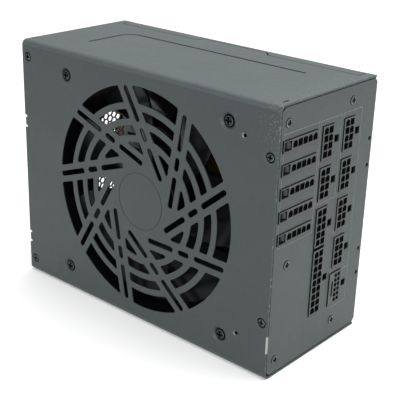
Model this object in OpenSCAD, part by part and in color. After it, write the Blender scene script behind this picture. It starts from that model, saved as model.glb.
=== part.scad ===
// Fully modular ATX power supply, standing on one of its long sides.
// +X points out of the modular panel, -Y out of the fan grille and +Z up.
// The origin is the middle of the long side that the case stands on.

/* [Case] */
// Length of the case, from the rear panel to the modular panel
case_l = 190; // [188:1:200]
// Thickness of the case, from the fan face to the base plate
case_t = 86; // [86:1:90]
// Width of the case, upright here
case_h = 150; // [150:1:154]
// Thickness of the steel sheet
sheet_t = 1.0; // [0.8:0.1:1.1]
// Outer radius of the fan cover's long bends
cover_fold = 3.4; // [2:0.2:4]
// Outer radius of the base plate's long bends
base_fold = 2; // [1.5:0.25:2.5]
// Gap between the fan cover and the panels inside it
panel_gap = 0.7; // [0.5:0.1:0.8]
// How far the end panels sit inside the ends of the cover
panel_inset = 0.3; // [0:0.1:0.6]

/* [Seam] */
// Width of the base plate's lip on the long sides
lip_w = 9.7; // [8:0.1:11]
// Width of that lip where the cover's tab reaches over it
lip_narrow_w = 5; // [4:0.5:6]
// Gap between the lip and the cover
seam_gap = 0.6; // [0.3:0.1:0.8]

/* [Grille] */
// Radius of the grille's opening
grille_r = 65.4; // [64:0.1:65.6]
// Number of slotted bars
bar_count = 9; // [8:1:10]
// Distance of a bar's middle line from the centre
bar_offset = 21.5; // [20:0.5:23]
// Width of a bar
bar_w = 10.2; // [9:0.1:11]
// Width of the slot along a bar
slot_w = 3.2; // [2.4:0.1:4]
// Inner radius of the first ring
ring_r = 34.2; // [33:0.1:35]
// Distance from one ring to the next
ring_pitch = 9; // [8.5:0.1:9.5]
// Width of a ring
ring_w = 3.6; // [3:0.1:4]

/* [Fan] */
// Distance of the fan's centre from the rear end
fan_from_rear = 97.8; // [96:0.1:99]
// Distance of the fan's centre from the top
fan_from_top = 74.8; // [74:0.1:76]
// Side of the square fan frame
fan_size = 135; // [133:1:135]
// Depth of the fan
fan_depth = 25; // [25:1:26]
// Distance between the fan's screws
fan_pitch = 120.5; // [119:0.5:121]
// Number of blades
blade_count = 7; // [5:1:9]
// Tilt of a blade out of the rotor's plane
blade_tilt = 13; // [8:1:15]
// Radius of the rotor over the blade tips
blade_r = 64.3; // [60:0.1:64.5]
// Radius of the rotor's hub
hub_r = 22; // [21:0.5:24]
// Radius of the shaft
shaft_r = 1.5; // [1.2:0.1:1.6]
// Running clearance of the shaft in its bearing
shaft_clear = 0.03; // [0.02:0.01:0.08]

/* [Modular sockets] */
// Distance between neighbouring contacts
pin_pitch = 4.2; // [4.2:0.1:4.2]
// Width of one contact chamber
chamber_w = 3.4; // [3:0.1:3.6]
// How far the sockets stand out of the panel
socket_proud = 0.6; // [0.3:0.1:1]
// Number of peripheral sockets
peripheral_count = 5; // [5:1:5]
// Distance between the peripheral sockets
peripheral_pitch = 12.3; // [12:0.1:12.5]
// Distance between the graphics sockets
graphics_pitch = 22.45; // [22:0.05:22.5]

/* [Rear panel] */
// Distance between the perforations
hex_pitch = 4.2; // [4:0.2:6]
// Width of a perforation across its flats
hex_w = 3.5; // [3:0.1:3.5]
// Height of the mains inlet's middle
inlet_z = 124; // [122:1:125]
// Half of the rocker's travel
rocker_tilt = 8; // [6:1:9]

/* [Board] */
// Height of the main board above the base plate
board_lift = 5; // [4:0.5:6]
// Thickness of the circuit boards
board_t = 1.6; // [1.2:0.2:1.6]
// Height of the bulk capacitors
bulk_h = 45; // [35:1:46]

/* [Hidden] */

$fn = 64;
skin = 0.01;               // overshoot of a cut beyond the face that it opens

x_rear = -case_l / 2;
x_front = case_l / 2;
y_fan = -case_t / 2;
y_base = case_t / 2;

// Colours
paint = [0.33, 0.36, 0.36];
black = [0.07, 0.07, 0.08];
steel = [0.62, 0.63, 0.64];
brass = [0.78, 0.62, 0.3];
copper = [0.72, 0.42, 0.22];
board_green = [0.1, 0.22, 0.16];
ferrite = [0.2, 0.2, 0.21];

// Screw seats in the fan cover
cover_screw_r = 2.5;       // radius of a cover screw's head
fan_screw_r = 3.2;         // radius of a fan screw's head
dimple_d = 1.2;            // depth of the fan screws' dimples
fan_x = x_rear + fan_from_rear;
fan_z = case_h - fan_from_top;
cover_screw_xz = [[x_rear + 4.5, case_h - 9.8], [x_rear + 4.5, case_h - 140.9],
    [x_front - 5, case_h - 26.9], [x_front - 4.5, case_h - 117.1]];
fan_screw_xz = [for (i = [-1, 1], j = [-1, 1]) [fan_x + i * fan_pitch / 2, fan_z + j * fan_pitch / 2]];
spare_hole_xz = [[x_rear + 169, case_h - 19.4], [x_rear + 169.3, case_h - 129.6]];
notch_z = [case_h - 50, case_h - 126.5];
notch_w = 8;
notch_d = 2;

// Seam on the long sides, seen in plan
lip_y = y_base - lip_w;
tab_y = y_base - lip_narrow_w;
ear_y = y_base - 1.5;
ear_w = 6;
tab_x = [x_rear + 69.5, x_rear + 71.8, x_rear + 118.6, x_rear + 123];

// Decorative groove in the top side
groove_w = 1.8;
groove_d = 0.7;
groove_r = 8.5;
groove_x = [x_rear + 30.5, x_rear + 161];
groove_y = [y_fan + 26, y_fan + 59.4];

// Fan, measured inwards from the face of its frame
fan_y = y_fan + sheet_t + dimple_d;
frame_bore_r = 65.8;
tube_r = 5.5;              // bearing tube of the frame
bearing_r = 4;
hub_wall = 1.5;
hub_top = 2.5;
hub_end = 19;
disc_z = 22;               // start of the frame's hub disc

// Main board and modular board
board_back = y_base - sheet_t - board_lift;
board_face = board_back - board_t;
board_x = [x_rear + 4, x_front - 16];
board_z = [3.5, case_h - 3.5];
modular_x = x_front - 13;  // socket side of the modular board
modular_y = [y_fan + 3.5, board_face - 1.4];
board_screw_xz = [for (x = [x_rear + 9, x_rear + 98, x_front - 22], z = [8, case_h - 8]) [x, z]];

// Modular panel, measured down from the top and across from the fan face
panel_screw_ab = [[9.8, 7.2], [9.7, 63.2], [87, 13.2], [140.5, 8], [137.5, 60.5]];
peripheral_a = 21.4;
peripheral_b = [3.6, 32.2];
peripheral_h = 5.9;
cavity_b = [4.2, 10.0];
first_pin_b = 13.0;
cpu_b = 41.9;
cpu_a = [27.35, 49.8];
short_a = 74.6;
short_rows = 5;
long_a = 107;
long_rows = 9;
graphics_b = 61.3;
graphics_a = 27.3;
wide_a = 117.2;
wide_b = 60.6;
wide_size = [19.8, 11];
wide_pitch = 3;
latch_b = 8.4;             // distance of a latch window from its socket's middle
latch_w = 4;
vent_hole_ab = [[34.9, 83.5], [50.3, 83.5], [100.6, 83.5], [115.8, 83.5]];
socket_fit = 0.4;            // gap between a socket and its window
chamber_d = 9.5;

// Rear panel
inlet_y = -12;
switch_y = 27;
rear_mount_yz = [[37, case_h - 6], [37, case_h - 120], [y_fan + 6, case_h - 6], [y_fan + 16, 6]];
mount_r = 1.4;
collar_r = 2.6;
collar_l = 2;
hex_y = [y_fan + 8, y_base - 6];
hex_z = [9, inlet_z - 17];
pivot_depth = 2;
rocker_pin_r = 1.2;

// ---------- placing and small helpers ----------

// A profile drawn in y and z, extruded along x
module along_case(from, to) {
    translate([from, 0, 0]) rotate([90, 0, 90]) linear_extrude(to - from) children();
}

// A shape drawn in x and z, extruded from depth "from" to depth "to" along y
module facing_fan(from, to) {
    translate([0, to, 0]) rotate([90, 0, 0]) linear_extrude(to - from) children();
}

// Fan pieces: local z runs inwards from the face of the fan frame
module in_fan() translate([fan_x, fan_y, fan_z]) rotate([-90, 0, 0]) children();

// Modular panel pieces: local x is down from the top, y across from the fan face, z outwards
module on_panel() translate([x_front - panel_inset, y_fan, case_h]) rotate([0, 90, 0]) children();

// Rear panel pieces: local x is up, y across, z outwards
module at_rear(y, z) translate([x_rear + panel_inset, y, z]) rotate([0, -90, 0]) children();

// Board pieces: local x stays, y is up and z stands off the board towards the fan
module on_board(x, z) translate([x, board_face, z]) rotate([90, 0, 0]) children();

module rounded_rect(size, r) {
    square([size.x - 2 * r, size.y], center = true);
    square([size.x, size.y - 2 * r], center = true);
    for (i = [-1, 1], j = [-1, 1]) translate([i * (size.x / 2 - r), j * (size.y / 2 - r)]) circle(r);
}

module block(size) translate([-size.x / 2, -size.y / 2, 0]) cube(size);

module ring(outer, inner, h) difference() {
    cylinder(r = outer, h = h);
    translate([0, 0, -1]) cylinder(r = inner, h = h + 2);
}

// A slot with round ends, from x1 to x2
module slot(x1, x2, w) {
    translate([x1 + w / 2, -w / 2]) square([x2 - x1 - w, w]);
    for (x = [x1 + w / 2, x2 - w / 2]) translate([x, 0]) circle(w / 2);
}

// A screw with a low domed head: its shank runs down from z = 0, its head stands up
module screw(head_r, head_h, shank_r, length) {
    dome_r = (head_r * head_r + head_h * head_h) / (2 * head_h);
    difference() {
        union() {
            intersection() {
                translate([0, 0, head_h - dome_r]) sphere(dome_r);
                cylinder(r = head_r * 0.96, h = head_h);
            }
            translate([0, 0, -length]) cylinder(r = shank_r, h = length + head_h / 2);
        }
        for (turn = [0, 90]) rotate(turn) translate([0, 0, head_h * 0.35])
            translate([-head_r * 0.62, -head_r * 0.15, 0]) cube([head_r * 1.24, head_r * 0.3, head_h]);
    }
}

// An insulated wire through a list of points
module wire(points, r) {
    for (i = [1:len(points) - 1]) {
        step = points[i] - points[i - 1];
        length = norm(step);
        translate(points[i - 1]) rotate([0, acos(step.z / length), atan2(step.y, step.x)])
            cylinder(r = r, h = length);
    }
    for (i = [1:len(points) - 2]) translate(points[i]) sphere(r * 1.06);
}

// ---------- case ----------

// Upright rectangle from y to end, inset by t at the ends, whose corners at y are round
module round_backed(y, end, t, r) {
    translate([y + r, t]) square([end - y - r, case_h - 2 * t]);
    translate([y, t + r]) square([2 * r, case_h - 2 * t - 2 * r]);
    for (z = [t + r, case_h - t - r]) translate([y + r, z]) circle(r);
}

// U profile of a bent sheet, open towards +y
module channel_profile(y, end, bend) difference() {
    round_backed(y, end, 0, bend);
    round_backed(y + sheet_t, end + 1, sheet_t, bend - sheet_t);
}

// Line of the seam, in plan, moved towards the base plate by g
function seam(g) = [[x_rear + ear_w + g, ear_y + g], [x_rear + ear_w + g, lip_y + g],
    [tab_x[0] - g, lip_y + g], [tab_x[1] - g, tab_y + g], [tab_x[2] + g, tab_y + g],
    [tab_x[3] + g, lip_y + g], [x_front - ear_w - g, lip_y + g], [x_front - ear_w - g, ear_y + g]];

// One sector of the grille: the openings between this bar and the next, cut by the rings
module grille_sector() {
    below = bar_offset + bar_w / 2;
    above = bar_offset - bar_w / 2;
    reach = grille_r + 5;
    difference() {
        circle(grille_r);
        for (i = [0:2]) difference() {
            circle(ring_r + ring_w + i * ring_pitch);
            circle(ring_r + i * ring_pitch);
        }
        translate([-reach, -above - 2 * reach]) square(2 * reach);
        rotate(360 / bar_count) translate([-reach, -below]) square(2 * reach);
    }
}

module bar_slots() {
    ends = [[6.2, 25.2], [28.9, 36.8], [40.5, 61.5]];
    for (e = ends) translate([0, -bar_offset]) slot(e[0], e[1], slot_w);
}

module grille() {
    for (k = [0:bar_count - 1]) rotate(k * 360 / bar_count) {
        offset(r = 0.9, $fn = 16) offset(delta = -0.9) grille_sector($fn = 96);
        bar_slots();
    }
}

module groove() {
    x = groove_x[0];
    y = groove_y[1];
    translate([x - groove_w / 2, groove_y[0]]) square([groove_w, y - groove_r - groove_y[0]]);
    translate([x, groove_y[0]]) circle(groove_w / 2);
    translate([x + groove_r, y - groove_r]) intersection() {
        difference() {
            circle(groove_r + groove_w / 2);
            circle(groove_r - groove_w / 2);
        }
        translate([-20, 0]) square(20);
    }
    translate([x + groove_r, y - groove_w / 2]) square([groove_x[1] - x - groove_r, groove_w]);
    translate([groove_x[1], y]) circle(groove_w / 2);
}

// Notch in the rear edge of the fan face, with a round relief at each end
module edge_notch() {
    translate([-1, -notch_w / 2 + 0.9]) square([notch_d + 0.3, notch_w - 1.8]);
    for (j = [-1, 1]) translate([0, j * (notch_w / 2 - 0.9)]) {
        translate([-1, -0.9]) square([notch_d + 0.1, 1.8]);
        translate([notch_d - 0.9, 0]) circle(0.9);
    }
}

module fan_cover() color(paint) {
    difference() {
        union() {
            along_case(x_rear, x_front) channel_profile(y_fan, ear_y, cover_fold);
            for (p = fan_screw_xz) translate([p.x, y_fan + sheet_t, p.y]) rotate([-90, 0, 0])
                cylinder(r = fan_screw_r + 2.4, h = dimple_d);
            for (p = cover_screw_xz) translate([p.x, y_fan + sheet_t, p.y]) rotate([-90, 0, 0])
                cylinder(r = cover_screw_r + 0.9, h = panel_gap);
        }
        // the long sides end at the seam
        translate([0, 0, -1]) linear_extrude(case_h + 2)
            polygon(concat(seam(0), [[x_front - ear_w, y_base + 1], [x_rear + ear_w, y_base + 1]]));
        translate([0, y_fan - 1, 0]) facing_fan(0, sheet_t + 2) translate([fan_x, fan_z]) grille();
        translate([0, y_fan - 1, 0]) facing_fan(0, 1.15) translate([fan_x, fan_z]) difference() {
            circle(16.8);
            circle(16.2);
        }
        translate([0, y_fan - 1, 0]) facing_fan(0, sheet_t + 2)
            for (z = notch_z) translate([x_rear, z]) edge_notch();
        for (p = fan_screw_xz) translate([p.x, y_fan, p.y]) rotate([-90, 0, 0]) {
            translate([0, 0, -skin])
                cylinder(r1 = fan_screw_r + 1.6, r2 = fan_screw_r + 0.3, h = dimple_d + skin);
            translate([0, 0, -1]) cylinder(r = 2, h = 5);
        }
        for (p = cover_screw_xz) translate([p.x, y_fan, p.y]) rotate([-90, 0, 0]) {
            translate([0, 0, -skin])
                cylinder(r1 = cover_screw_r + 0.6, r2 = cover_screw_r, h = panel_gap + skin);
            translate([0, 0, -1]) cylinder(r = 1.7, h = 5);
        }
        for (p = spare_hole_xz) translate([p.x, y_fan, p.y]) rotate([-90, 0, 0]) {
            translate([0, 0, -skin]) cylinder(r1 = 1.75, r2 = 1.25, h = 0.5);
            translate([0, 0, -1]) cylinder(r = 1.1, h = 3);
        }
        translate([0, 0, case_h - groove_d]) linear_extrude(1) groove();
        for (x = [x_rear + 1.2, x_front - 3.5], z = [-1, case_h - sheet_t - 1])
            translate([x, y_fan + 8, z]) linear_extrude(sheet_t + 2) rotate(90) slot(-2.5, 2.5, 1.2);
    }
}

module base_plate() color(paint) {
    outer = [x_rear - 1, x_front + 1];
    plate = [x_rear + panel_inset + sheet_t, x_front - panel_inset - sheet_t];
    difference() {
        along_case(plate[0], plate[1]) mirror([1, 0]) channel_profile(-y_base, -lip_y - seam_gap, base_fold);
        translate([0, 0, -1]) linear_extrude(case_h + 2)
            polygon(concat([[outer[0], 0], [outer[0], ear_y + seam_gap]], seam(seam_gap),
                [[outer[1], ear_y + seam_gap], [outer[1], 0]]));
        for (p = board_screw_xz) translate([p.x, y_base - sheet_t - 1, p.y]) rotate([-90, 0, 0])
            cylinder(r = 1.5, h = 3);
    }
}

// Outline of an end panel in y and z
module panel_outline() {
    edge = sheet_t + 0.6;
    near = y_fan + sheet_t + panel_gap;
    polygon([[near, edge + 2.2], [near + 2.2, edge], [y_base - 2, edge], [y_base, edge + 2],
        [y_base, case_h - edge - 2], [y_base - 2, case_h - edge], [near + 2.2, case_h - edge],
        [near, case_h - edge - 2.2]]);
}

// Ear folded in from an end panel, which a cover screw threads into
module panel_ear(x, screw_xz, inwards) difference() {
    depth = 10;
    translate([inwards > 0 ? x : x - depth, y_fan + sheet_t + panel_gap, screw_xz.y - 6])
        cube([depth, sheet_t, 12]);
    translate([screw_xz.x, y_fan, screw_xz.y]) rotate([-90, 0, 0]) cylinder(r = 1.3, h = 9);
}

function hex_column(y) = round((y - hex_y[0]) / (hex_pitch * sqrt(3) / 2));
function hex_clear(p) = min([for (m = rear_mount_yz) norm(p - m)]) > collar_r + hex_w * 0.6 + 0.6;
hex_cells = [for (y = [hex_y[0]:hex_pitch * sqrt(3) / 2:hex_y[1]], z = [hex_z[0]:hex_pitch:hex_z[1]])
    let (p = [y, z + (hex_column(y) % 2) * hex_pitch / 2]) if (hex_clear(p)) p];

// The rear panel's sheet: honeycomb, cut-outs for the inlet and the switch, and screw holes
module perforated_sheet() difference() {
    panel_outline();
    for (c = hex_cells) translate(c) circle(hex_w / sqrt(3), $fn = 6);
    translate([inlet_y, inlet_z]) square([27.9, 20.9], center = true);
    translate([switch_y, inlet_z]) square([19.4, 13.3], center = true);
    for (j = [-1, 1]) translate([inlet_y + 20 * j, inlet_z]) circle(1.6);
    for (m = rear_mount_yz) translate(m) circle(mount_r);
}

module rear_panel() color(paint) {
    face = x_rear + panel_inset;
    along_case(face, face + sheet_t) perforated_sheet();
    for (i = [0, 1]) panel_ear(face + sheet_t, cover_screw_xz[i], 1);
    // tongues that reach into the notches of the fan cover
    for (z = notch_z) translate([face, y_fan + 0.2, z - 2.4]) cube([sheet_t, sheet_t + panel_gap - 0.2, 4.8]);
    // extruded collars that the mounting screws thread into
    for (m = rear_mount_yz) at_rear(m[0], m[1]) translate([0, 0, -sheet_t - collar_l]) difference() {
        cylinder(r = collar_r, h = collar_l);
        translate([0, 0, -1]) cylinder(r = mount_r, h = collar_l + 2);
    }
}

// Cut-outs of the modular panel, drawn down from the top and across from the fan face
module panel_cutouts() {
    f = 2 * socket_fit;
    for (i = [0:peripheral_count - 1])
        translate([peripheral_a + i * peripheral_pitch - peripheral_h / 2 - socket_fit,
            peripheral_b[0] - socket_fit])
            square([peripheral_h + f, peripheral_b[1] - peripheral_b[0] + f]);
    for (a = cpu_a) socket_window(a, cpu_b, 4);
    socket_window(short_a, cpu_b, short_rows);
    socket_window(long_a, cpu_b, long_rows);
    // the two board sockets share one window
    translate([long_a - (long_rows * pin_pitch + 1.2) / 2 - 2, cpu_b - 4.9 - socket_fit])
        square([3, 9.8 + f]);
    for (i = [0:3]) socket_window(graphics_a + i * graphics_pitch, graphics_b, 4);
    translate([wide_a, wide_b]) square([wide_size.x + f, wide_size.y + f], center = true);
    translate([wide_a, wide_b + latch_b + 0.8]) square(latch_w, center = true);
    for (p = panel_screw_ab) translate(p) circle(1.6);
    for (p = vent_hole_ab) translate(p) circle(1.25);
}

module socket_window(a, b, rows) {
    translate([a, b]) square([rows * pin_pitch + 1.2 + 2 * socket_fit, 9.8 + 2 * socket_fit], center = true);
    translate([a, b + latch_b]) square(latch_w, center = true);
}

module modular_panel() color(paint) {
    inner = x_front - panel_inset - sheet_t;
    difference() {
        along_case(inner, inner + sheet_t) panel_outline();
        on_panel() translate([0, 0, -sheet_t - 1]) linear_extrude(sheet_t + 2) panel_cutouts();
    }
    for (i = [2, 3]) panel_ear(inner, cover_screw_xz[i], -1);
}

module insulating_sheet() color([0.85, 0.83, 0.75]) difference() {
    translate([board_x[0], y_base - sheet_t - 0.5, board_z[0]])
        cube([board_x[1] - board_x[0], 0.5, board_z[1] - board_z[0]]);
    for (p = board_screw_xz) translate([p.x, y_base - sheet_t - 2, p.y]) rotate([-90, 0, 0])
        cylinder(r = 3.4, h = 4);
}

module cover_screws() color(steel)
    for (p = cover_screw_xz) translate([p.x, y_fan + panel_gap, p.y]) rotate([90, 0, 0])
        screw(cover_screw_r, panel_gap + 0.1, 1.2, 4);

module fan_screws() color(steel)
    for (p = fan_screw_xz) translate([p.x, y_fan + dimple_d, p.y]) rotate([90, 0, 0])
        screw(fan_screw_r, dimple_d - 0.1, 1.9, 9);

module panel_screws() color(steel) {
    on_panel() for (p = panel_screw_ab) translate(p) screw(2.7, 0.8, 1.4, 8);
    for (j = [-1, 1]) at_rear(inlet_y + 20 * j, inlet_z) translate([0, 0, 2]) screw(2.6, 0.8, 1.4, 7);
}

module board_screws() color(steel)
    for (p = board_screw_xz) on_board(p.x, p.y) screw(2.8, 1.8, 1.4, 5);

// Hex spacers under the main board and between the modular board and its panel
module board_standoffs() color(brass) {
    for (p = board_screw_xz) translate([p.x, board_back, p.y]) rotate([-90, 0, 0]) difference() {
        cylinder(r = 3, h = board_lift, $fn = 6);
        translate([0, 0, -1]) cylinder(r = 1.45, h = board_lift + 2);
    }
    length = x_front - panel_inset - sheet_t - modular_x;
    on_panel() for (p = panel_screw_ab) translate([p.x, p.y, -sheet_t - length]) difference() {
        cylinder(r = 3, h = length, $fn = 6);
        translate([0, 0, -1]) cylinder(r = 1.45, h = length + 2);
    }
}

// ---------- fan ----------

module fan_frame() color(black) in_fan() {
    plate_t = 3.5;
    difference() {
        union() {
            for (z = [0, fan_depth - plate_t]) translate([0, 0, z]) linear_extrude(plate_t)
                rounded_rect([fan_size, fan_size], 8);
            cylinder(r = fan_size / 2 - 0.1, h = fan_depth);
            for (i = [-1, 1], j = [-1, 1]) translate([i * fan_pitch / 2, j * fan_pitch / 2, 0])
                cylinder(r = 5, h = fan_depth);
        }
        translate([0, 0, -1]) cylinder(r = frame_bore_r, h = fan_depth + 2);
        for (i = [-1, 1], j = [-1, 1]) translate([i * fan_pitch / 2, j * fan_pitch / 2, -1])
            cylinder(r = 2, h = fan_depth + 2);
    }
    // struts, hub disc and bearing tube
    difference() {
        union() {
            for (k = [0:3]) rotate(20 + 90 * k) translate([15, -2, fan_depth - 4])
                cube([frame_bore_r - 14.6, 4, 4]);
            translate([0, 0, disc_z]) cylinder(r = 24, h = fan_depth - disc_z);
            translate([0, 0, 6]) cylinder(r = tube_r, h = fan_depth - 6.5);
        }
        translate([0, 0, 5]) cylinder(r = bearing_r, h = 15.5);
        ring_cut = fan_depth - 4;
        translate([0, 0, ring_cut - 1]) ring(22, tube_r, disc_z - ring_cut + 1);
    }
}

module fan_stator() color(steel) in_fan() translate([0, 0, 9]) difference() {
    union() {
        cylinder(r = 8, h = 6);
        for (k = [0:3]) rotate(90 * k) {
            translate([7, -1.8, 0]) cube([8, 3.6, 6]);
            intersection() {
                ring(16.4, 14, 6);
                translate([0, -8, 0]) cube([20, 16, 6]);
            }
        }
    }
    translate([0, 0, -1]) cylinder(r = tube_r, h = 8);
}

module fan_coils() color(copper) in_fan()
    for (k = [0:3]) rotate(90 * k) translate([10.9, 0, 7.5]) difference() {
        block([4.8, 8.4, 9]);
        translate([0, 0, 1.5]) block([6, 3.6, 6]);
    }

module fan_bearing() color(brass) in_fan() translate([0, 0, 6.5])
    ring(bearing_r, shaft_r + shaft_clear, 14);

module fan_shaft() color(steel) in_fan() translate([0, 0, hub_top + 0.3]) cylinder(r = shaft_r, h = 17.2);

// Cambered section of a blade, drawn around its radial line
module blade_section() {
    camber_r = 70;
    difference() {
        circle(camber_r + 0.8);
        circle(camber_r - 0.8);
    }
}

// Broad blade: a cambered sheet, tilted, cut to a sector of the rotor
module fan_blade() intersection() {
    camber_drop = 68.5;
    half_sector = 20.5;
    translate([14, 0, 0]) rotate([90, 0, 90]) linear_extrude(blade_r)
        rotate(-blade_tilt) translate([0, camber_drop]) blade_section();
    cut = blade_r * 1.1;
    side = cut * [cos(half_sector), sin(half_sector)];
    linear_extrude(fan_depth, center = true)
        polygon([[0, 0], [side.x, -side.y], [cut, 0], side]);
}

module fan_rotor() color([0.1, 0.1, 0.11]) in_fan() {
    rest_turn = -2;
    difference() {
        intersection() {
            for (k = [0:blade_count - 1]) rotate(k * 360 / blade_count + rest_turn)
                translate([0, 0, (hub_top + hub_end) / 2]) fan_blade();
            translate([0, 0, hub_top]) cylinder(r = blade_r, h = hub_end - hub_top);
        }
        cylinder(r = hub_r - hub_wall / 2, h = fan_depth);
    }
    difference() {
        translate([0, 0, hub_top]) cylinder(r = hub_r, h = hub_end - hub_top);
        translate([0, 0, hub_top + 1.8]) cylinder(r = hub_r - hub_wall, h = fan_depth);
        translate([0, 0, hub_top + 0.3]) cylinder(r = shaft_r, h = 5);
    }
}

module fan_magnet_ring() color([0.16, 0.14, 0.13]) in_fan() translate([0, 0, 6])
    ring(hub_r - hub_wall, 17.2, 12.5);

module fan_circuit_board() color(board_green) in_fan() translate([0, 0, disc_z - 1.6])
    ring(17, tube_r + 0.3, 1.6);

// Lead from the fan frame down to its header on the main board
module fan_lead() color(black) {
    x = fan_x + fan_size / 2;
    y = fan_y + fan_depth - 5;
    for (z = [24, 26.5]) wire([[x, y, z], [x + 3.5, y, z], [x + 3.5, board_face - 8, z]], 0.8);
    on_board(x + 3.5, 25.25) block([5, 8, 8]);
}

// ---------- mains side ----------

blade_at = [[2, -7], [-2, 0], [2, 7]];

module inlet_blade_shapes() for (p = blade_at) translate([p.x - 2, p.y - 1, -20]) cube([4, 2, 20.5]);

// Mouth of the inlet, with two bevelled corners
module inlet_mouth()
    polygon([[-8.2, -8.2], [-4.2, -12.2], [8.2, -12.2], [8.2, 12.2], [-4.2, 12.2], [-8.2, 8.2]]);

module ac_inlet() color(black) at_rear(inlet_y, inlet_z) difference() {
    union() {
        linear_extrude(2.5) rounded_rect([24, 50], 5);
        translate([-10.25, -13.75, -17.5]) cube([20.5, 27.5, 17.6]);
    }
    translate([0, 0, -15]) linear_extrude(20) inlet_mouth();
    inlet_blade_shapes();
    for (j = [-1, 1]) translate([0, 20 * j, 0]) {
        translate([0, 0, -1]) cylinder(r = 1.6, h = 5);
        translate([0, 0, 2]) cylinder(r = 3.0, h = 3);
    }
}

module inlet_blades() color(steel) at_rear(inlet_y, inlet_z) inlet_blade_shapes();

module switch_body() color(black) at_rear(switch_y, inlet_z) difference() {
    union() {
        linear_extrude(1.8) rounded_rect([15, 21], 1);
        translate([-6.45, -9.5, -14]) cube([12.9, 19, 14.1]);
    }
    translate([-5.3, -8.8, -6.5]) cube([10.6, 17.6, 10]);
    translate([-6.2, 0, -pivot_depth]) rotate([0, 90, 0]) cylinder(r = rocker_pin_r + 0.05, h = 12.4);
}

// Rocker, pressed at one end; its two pins turn in the switch body
module power_rocker() color([0.12, 0.12, 0.13]) at_rear(switch_y, inlet_z)
    translate([0, 0, -pivot_depth]) rotate([-rocker_tilt, 0, 0]) {
        translate([-5, 0, 0]) rotate([90, 0, 90]) linear_extrude(10)
            polygon([[-8, 4.6], [-4, 3.5], [0, 3.1], [4, 3.5], [8, 4.6],
                [8, 1], [5, -2.2], [-5, -2.2], [-8, 1]]);
        translate([-6, 0, 0]) rotate([0, 90, 0]) cylinder(r = rocker_pin_r, h = 12);
    }

module switch_contacts() color(brass) at_rear(switch_y, inlet_z)
    for (i = [-1, 1], j = [-1, 1]) translate([3 * i - 0.4, 5.5 * j - 2.4, -21]) difference() {
        cube([0.8, 4.8, 7]);
        translate([-1, 2.4, 2.4]) rotate([0, 90, 0]) cylinder(r = 0.8, h = 3);
    }

module mains_wires() color([0.35, 0.22, 0.12]) {
    end_x = x_rear + panel_inset + 20;
    for (i = [0:2]) {
        turn_x = end_x + 8.5 - 3.5 * i;
        y = inlet_y + blade_at[i].y;
        z = inlet_z + blade_at[i].x;
        wire([[end_x, y, z], [turn_x, y, z], [turn_x, y, inlet_z - 13],
            [turn_x, board_face, inlet_z - 13]], 1.3);
    }
    for (i = [-1, 1]) {
        tab_end = x_rear + panel_inset + 21;
        wire([[tab_end, switch_y - 5.5, inlet_z + 3 * i], [tab_end + 2.5, switch_y - 5.5, inlet_z + 3 * i],
            [tab_end + 2.5, board_face, inlet_z + 3 * i]], 1.2);
    }
}

// ---------- main board ----------

module main_board() color(board_green) difference() {
    translate([board_x[0], board_face, board_z[0]])
        cube([board_x[1] - board_x[0], board_t, board_z[1] - board_z[0]]);
    for (p = board_screw_xz)
        translate([p.x, board_face - 1, p.y]) rotate([-90, 0, 0]) cylinder(r = 1.6, h = 4);
    // notch around the back of the switch
    translate([board_x[0] - 1, board_face - 1, inlet_z - 8]) cube([12, board_t + 2, 16]);
}

// Toroids: x, z, outer radius, inner radius, height, lift and the sector that each winding covers
toroids = [[x_rear + 23, 77, 11, 6, 10, 3, 150], [x_rear + 23, 22, 11, 6, 10, 3, 150],
    [x_rear + 63, 30, 18, 9, 14, 4, 330]];

module choke_cores() color(ferrite)
    for (t = toroids) on_board(t[0], t[1]) translate([0, 0, t[5]]) ring(t[2], t[3], t[4]);

module choke_windings() color(copper)
    for (t = toroids) {
        turns = t[6] > 180 ? [0] : [0, 180];
        for (start = turns) on_board(t[0], t[1]) translate([0, 0, t[5]]) rotate(start + 15)
            rotate_extrude(angle = t[6]) difference() {
                translate([t[3] - 1.5, -1.5]) square([t[2] - t[3] + 3, t[4] + 3]);
                translate([t[3], 0]) square([t[2] - t[3], t[4]]);
            }
    }

module x_capacitors() color([0.75, 0.62, 0.2])
    for (z = [46, 98]) on_board(x_rear + 22, z) translate([0, 0, 0.5]) block([26, 11, 11]);

module y_capacitors() color([0.2, 0.35, 0.6])
    for (z = [43, 53, 93, 103]) on_board(x_rear + 35.7, z) translate([0, 0, 6.5]) rotate([0, 90, 0]) {
        cylinder(r = 4.5, h = 3.5);
        for (j = [-2, 2]) translate([0, j, 1.75]) rotate([0, 90, 0]) cylinder(r = 0.4, h = 6.5);
    }

heatsink_x = x_rear + 46;

module primary_heatsink() color([0.55, 0.56, 0.58]) on_board(heatsink_x, case_h / 2 + 31) {
    translate([-1.5, -37, 2]) cube([3, 74, 36]);
    for (j = [0:8]) translate([1.5 - skin, -37 + j * 8.75, 30]) cube([10, 4, 8]);
}

module bridge_rectifiers() color(black)
    for (z = [92, 126]) on_board(heatsink_x - 1.5 - 2.3, z) {
        translate([-2.3, -15, 5]) cube([4.6, 30, 20]);
        for (j = [-11, -4, 4, 11]) translate([-0.5, j - 0.6, 0]) cube([0.8, 1.2, 5]);
    }

module power_transistors() color(black)
    for (z = [78, 97, 116, 135]) on_board(heatsink_x + 1.5, z) {
        translate([0, -8, 5]) cube([5, 16, 20]);
        for (j = [-5.4, 0, 5.4]) translate([2, j - 0.6, 0]) cube([0.7, 1.2, 5]);
    }

module bulk_capacitors() color([0.12, 0.1, 0.2])
    for (z = [92, 126]) on_board(x_rear + 79, z) difference() {
        cylinder(r = 15, h = bulk_h);
        translate([0, 0, bulk_h - 0.6]) ring(13.6, 12.8, 2);
    }

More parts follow.
